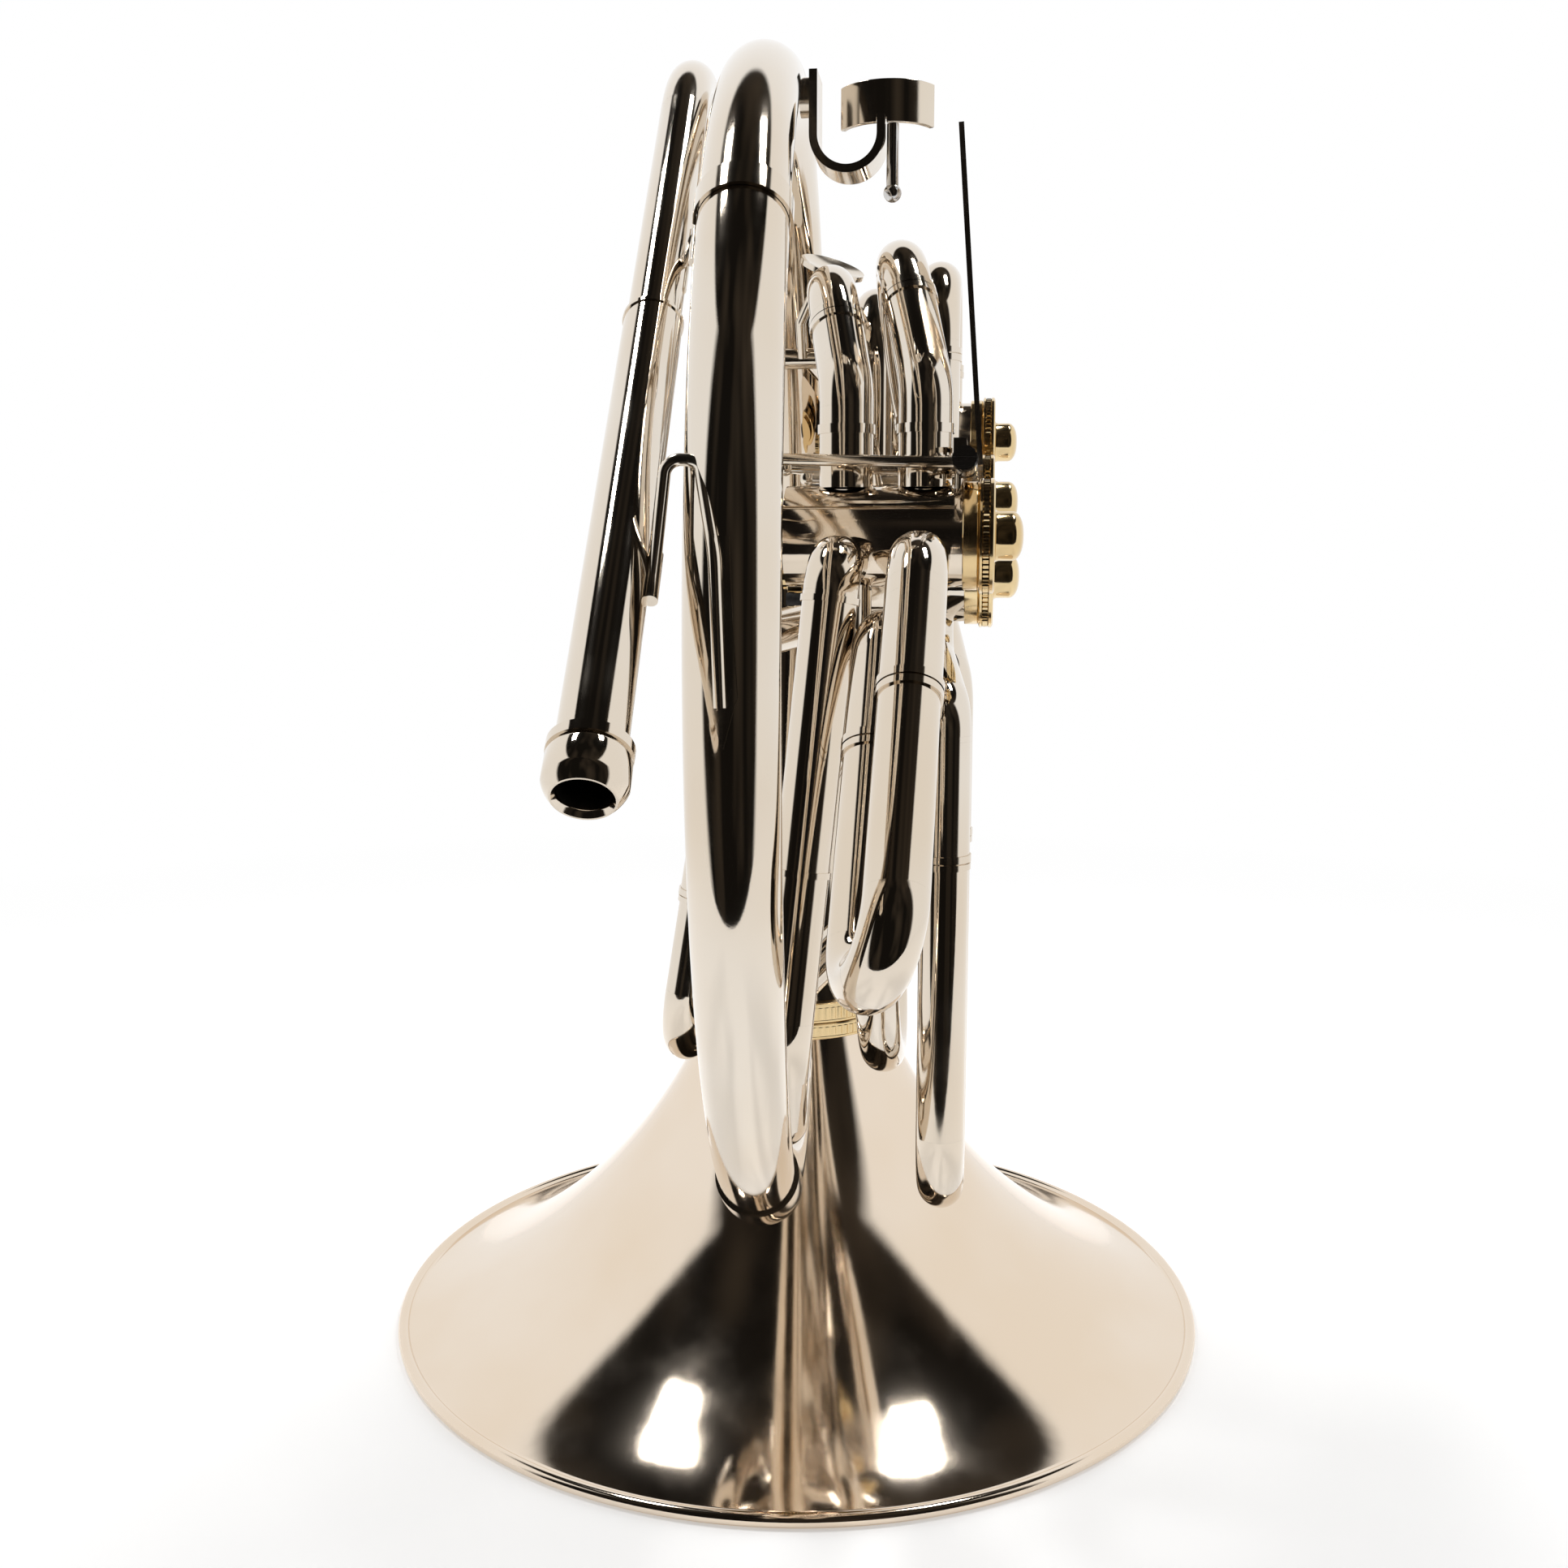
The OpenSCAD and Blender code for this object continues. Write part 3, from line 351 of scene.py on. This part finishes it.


# ---- Mouthpiece bore ----
# The inside of the receiver and of the leadpipe behind it gets a near-black metal, a
# painted shade for the dark deep bore: only its faces near the pipe's axis take it.

receiver_low, receiver_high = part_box("mouthpiece_receiver")
pipe_way = Vector((-0.05504, 0.70946, 0.70258))
receiver_mid = (receiver_low + receiver_high) / 2
bore_front = -5 * MM
bore_back = 150 * MM
for name, reach in (("mouthpiece_receiver_fine", 5.6), ("leadpipe_fine", 5.3)):
    piece = bpy.data.objects[name]
    piece.data.materials.append(painted_bore_shade)
    for polygon in piece.data.polygons:
        offset = polygon.center - receiver_mid
        depth = offset.dot(pipe_way)
        if (offset - pipe_way * depth).length < reach * MM and bore_front < depth < bore_back:
            polygon.material_index = 1


# ---- Slides ----
# Each slide is a return bend with two thinner legs that run in the sleeves.
# They pull out to tune the horn and stay where they are put.

for node in (
        "tuning_slide", "front_slide", "long_slide", "small_slide", "upper_1_slide", "upper_2_slide",
        "back_slide"):
    fine(node, nickel, "nickel_silver")


# ---- Braces ----
# Short wires and plates of nickel silver, soldered between the tubes.

for node in ("leadpipe_brace", "hairpin_brace", "body_braces"):
    fine(node, worn_nickel, "nickel_silver", 40)


# ---- Valves ----
# Four rotary valves: a nickel silver casing with a brass rotor inside, and on the left
# end of each rotor a stop arm that meets a rubber bumper at each end of its quarter turn.

for number in (1, 2, 3, 4):
    fine(f"casing_{number}", nickel, "nickel_silver")
    fine(f"rotor_{number}", gold, "yellow_brass")
    fine(f"stop_arm_{number}", gold, "yellow_brass", 35, 0.0002)
fine("bearing_plates", gold, "yellow_brass")
fine("bumpers", rubber, "rubber", 35, 0.0003)


# ---- Valve caps ----
# Turned yellow brass caps that screw on the casings: a skirt, a knurled disc and a domed
# knob. Each is turned from one bar, so its section is spun round the axis of its valve.

caps_low, caps_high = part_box("valve_caps")
cap_x = caps_low.x
cap_l = caps_high.x - caps_low.x
cap_profile = [
    (11.5, 0), (13.9, 0), (14.1, 0.2), (14.1, 3.7), (13.8, 4.0), (14.2, 4.0), (15.0, 4.4), (15.0, 5.0),
    (14.6, 5.2), (14.2, 5.4), (14.2, 6.6), (14.6, 6.8), (15.0, 7.0), (15.0, 7.8), (14.4, 8.2), (7.4, 8.2),
    (6.7, 8.5), (6.4, 9.2), (6.4, 12.6)]
knob_r, knob_low = cap_profile[-1]
knob_top = cap_l / MM
pole_r = 0.02
dome_steps = 12
for step in range(1, dome_steps + 1):
    a = math.radians(90 * step / dome_steps)
    r = knob_r * math.cos(a) ** 0.8 if step < dome_steps else pole_r
    cap_profile.append((r, knob_low + (knob_top - knob_low) * math.sin(a)))
cap_profile += [(pole_r, 4.1), (11.5, 4.1)]
valve_places = [(-165, 295.5), (-120, 285), (-76, 308), (-34, 330)]
for number, (y, z) in enumerate(valve_places, 1):
    cap = spin_profile([(r * MM, h * MM) for r, h in cap_profile], 96)
    smooth(cap, 28)
    knurled_band(cap, 14.35 * MM, 5.3 * MM, 6.7 * MM, 60, 0.4 * MM)
    place = Matrix.Translation((cap_x, y * MM, z * MM)) @ Matrix.Rotation(math.radians(90), 4, "Y")
    bmesh.ops.transform(cap, matrix=place, verts=cap.verts)
    replaced = ("valve_caps",) if number == 1 else ()
    add_piece(f"valve_cap_{number}", cap, gold, "body", "yellow_brass", *replaced)


# ---- Levers ----
# Three finger levers turn on one steel rod that its posts hold, and each arm reaches across
# the casings to its valve. The thumb lever turns on a short rod of its own.

for node in ("lever_1", "lever_2", "lever_3", "thumb_lever"):
    fine(node, worn_nickel, "nickel_silver", 35, 0.0002)
fine("hinge_posts", worn_nickel, "nickel_silver", 35, 0.0002)
fine("hinge_rod", steel, "steel")
fine("thumb_rod", steel, "steel")


# ---- Hand rests ----
# A bent band of nickel silver for the little finger, with a curved plate that rests on
# the hand above it and a small steel screw that holds the plate.

fine("finger_hook", worn_nickel, "nickel_silver", 35, 0.0003)
fine("hand_saddle", worn_nickel, "nickel_silver", 35, 0.0002)
fine("saddle_screw", steel, "steel")


# ---- Studio ----
# A white floor that fades into a white world all round, with two soft boxes overhead. The polished
# metal also mirrors the dark ceiling and the dark front of the room, which nothing else shows.

floor_half = 4
floor_front = -0.50
floor_bm = bmesh.new()
bmesh.ops.create_grid(
    floor_bm, x_segments=1, y_segments=1, size=floor_half,
    matrix=Matrix.Translation((0, floor_front + floor_half, 0)))
floor_mesh = bpy.data.meshes.new("floor")
floor_bm.to_mesh(floor_mesh)
floor_bm.free()
floor = bpy.data.objects.new("floor", floor_mesh)
bpy.context.scene.collection.objects.link(floor)
floor_material, floor_nodes, floor_links, floor_shader = new_material("white_floor")
floor_shader.inputs["Base Color"].default_value = (0.90, 0.90, 0.90, 1)
floor_shader.inputs["Roughness"].default_value = 0.9
floor_shader.inputs["Emission Color"].default_value = (1, 1, 1, 1)
floor_shader.inputs["Emission Strength"].default_value = 0.35
floor_far = floor_nodes.new("ShaderNodeEmission")
floor_far.inputs["Color"].default_value = (1, 1, 1, 1)
floor_distance = floor_nodes.new("ShaderNodeVectorMath")
floor_distance.operation = "LENGTH"
floor_links.new(floor_nodes.new("ShaderNodeTexCoord").outputs["Object"], floor_distance.inputs[0])
floor_fade = floor_nodes.new("ShaderNodeMixShader")
fade_by_distance = spread(floor_nodes, floor_links, floor_distance.outputs["Value"], 0, 1, 0.35, 1.1)
floor_links.new(fade_by_distance, floor_fade.inputs["Fac"])
floor_links.new(floor_shader.outputs["BSDF"], floor_fade.inputs[1])
floor_links.new(floor_far.outputs["Emission"], floor_fade.inputs[2])
floor_links.new(floor_fade.outputs["Shader"], floor_nodes["Material Output"].inputs["Surface"])
floor_mesh.materials.append(floor_material)

world = bpy.data.worlds.new("studio")
bpy.context.scene.world = world
world.use_nodes = True
world_nodes = world.node_tree.nodes
world_links = world.node_tree.links
direction = world_nodes.new("ShaderNodeTexCoord").outputs["Generated"]


def dark_side(axis, low, high):
    along = world_nodes.new("ShaderNodeVectorMath")
    along.operation = "DOT_PRODUCT"
    along.inputs[1].default_value = axis
    world_links.new(direction, along.inputs[0])
    return spread(world_nodes, world_links, along.outputs["Value"], 0, 1, low, high)


darker = world_nodes.new("ShaderNodeMath")
darker.operation = "MAXIMUM"
ceiling_way = (0, 0, 1)
front_way = (0.06, -0.99, 0.12)
world_links.new(dark_side(ceiling_way, 0.76, 0.79), darker.inputs[0])
world_links.new(dark_side(front_way, 0.36, 0.46), darker.inputs[1])
seen_only_in_metal = world_nodes.new("ShaderNodeMath")
seen_only_in_metal.operation = "SUBTRACT"
seen_only_in_metal.use_clamp = True
world_links.new(darker.outputs["Value"], seen_only_in_metal.inputs[0])
world_links.new(world_nodes.new("ShaderNodeLightPath").outputs["Is Camera Ray"], seen_only_in_metal.inputs[1])
room_stretch = world_nodes.new("ShaderNodeMapping")
room_stretch.inputs["Scale"].default_value = (1.8, 1.8, 0.5)
world_links.new(direction, room_stretch.inputs["Vector"])
room_shapes = noise(world_nodes, world_links, room_stretch.outputs["Vector"], 1.5, 1)
room_tone = world_nodes.new("ShaderNodeValToRGB")
room_tone.color_ramp.elements[0].position = 0.45
room_tone.color_ramp.elements[0].color = (0.008, 0.007, 0.006, 1)
room_tone.color_ramp.elements[1].position = 0.80
room_tone.color_ramp.elements[1].color = (0.05, 0.04, 0.03, 1)
world_links.new(room_shapes, room_tone.inputs["Fac"])
room_mix = world_nodes.new("ShaderNodeMix")
room_mix.data_type = "RGBA"
room_mix.inputs["A"].default_value = (1, 1, 1, 1)
world_links.new(seen_only_in_metal.outputs["Value"], room_mix.inputs["Factor"])
world_links.new(room_tone.outputs["Color"], room_mix.inputs["B"])
background = world_nodes["Background"]
world_links.new(room_mix.outputs["Result"], background.inputs["Color"])
background.inputs["Strength"].default_value = 1.0


def soft_box(name, place, aim, width, height, power):
    light = bpy.data.lights.new(name, "AREA")
    light.shape = "RECTANGLE"
    light.size = width
    light.size_y = height
    light.energy = power
    lamp = bpy.data.objects.new(name, light)
    lamp.location = place
    lamp.rotation_euler = (Vector(aim) - Vector(place)).to_track_quat("-Z", "Y").to_euler()
    bpy.context.scene.collection.objects.link(lamp)


soft_box("soft_box_left", (-0.58, 0.02, 1.6), (-0.03, -0.12, 0), 0.42, 0.20, 7)
soft_box("soft_box_right", (0.49, 0.20, 1.6), (0.05, -0.12, 0), 0.38, 0.20, 7)

camera = bpy.data.cameras.new("camera")
camera.lens = 35
camera.sensor_width = 36
camera_object = bpy.data.objects.new("camera", camera)
camera_object.location = (0.0707, -0.5737, 0.287)
camera_object.rotation_euler = (math.radians(90 - 8.03), 0, math.radians(7.5))
bpy.context.scene.collection.objects.link(camera_object)
bpy.context.scene.camera = camera_object
bpy.context.scene.view_settings.view_transform = "Standard"
bpy.context.scene.view_settings.look = "None"
